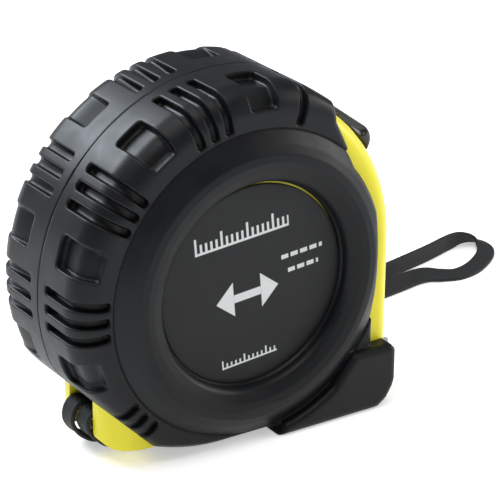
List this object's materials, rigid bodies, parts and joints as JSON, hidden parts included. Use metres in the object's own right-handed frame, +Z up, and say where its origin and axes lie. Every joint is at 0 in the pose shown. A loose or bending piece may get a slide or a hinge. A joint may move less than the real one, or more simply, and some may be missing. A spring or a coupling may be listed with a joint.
{
  "type": "pocket tape measure",
  "caption": "Pocket tape measure with a round two-part case in a tread-patterned rubber jacket, thumb lock, end hook, belt clip and wrist strap.",
  "frame": {"origin": "on the flat rubber base, straight under the spool's axis, on the middle plane", "axes": "+X out of the blade's mouth, -Y towards the label side, +Z up"},
  "size_m": [0.1264, 0.0531, 0.0655],
  "materials": {
    "yellow_plastic": "satin",
    "black_rubber": "matt",
    "label": "satin",
    "black_plastic": "satin",
    "white_plastic": "satin",
    "steel": "brushed",
    "spring_steel": "blued",
    "blade": "satin",
    "strap": "woven"
  },
  "bodies": {
    "root": {"case_right": "yellow_plastic", "case_left": "yellow_plastic", "jacket_right": "black_rubber", "jacket_left": "black_rubber", "label_disc": "label", "arbor": "steel", "centre_screw": "steel", "case_screws": "steel", "belt_clip": "steel", "clip_screw": "steel", "hook_bumper": "black_rubber", "strap_bar": "steel", "wrist_strap": "strap"},
    "spool": {"spool_drum": "white_plastic", "spool_cover": "white_plastic", "tape_roll": "blade", "power_spring": "spring_steel"},
    "blade": {"tape_blade": "blade", "hook_rivets": "steel"},
    "hook": {"end_hook": "steel"},
    "lock": {"lock_button": "black_plastic", "lock_arm": "black_plastic", "brake_pad": "black_rubber"}
  },
  "joints": [
    {"name": "spool_spin", "type": "hinge", "parent": "root", "child": "spool", "pos_m": [0, 0, 0.03], "axis": [0, -1, 0], "range_deg": [0, 110], "stiffness_Nm_per_rad": 0.015, "springref_deg": -114.59},
    {"name": "blade_slide", "type": "slide", "parent": "root", "child": "blade", "axis": [1, 0, 0], "range_m": [0, 0.0402]},
    {"name": "hook_play", "type": "slide", "parent": "blade", "child": "hook", "axis": [1, 0, 0], "range_m": [0, 0.0008]},
    {"name": "lock_slide", "type": "hinge", "parent": "root", "child": "lock", "pos_m": [0, 0, 0.03], "axis": [0, 1, 0], "range_deg": [0, 11]}
  ],
  "couplings": [
    {"joint": "blade_slide", "follows": "spool_spin", "m_per_rad": 0.0209}
  ]
}
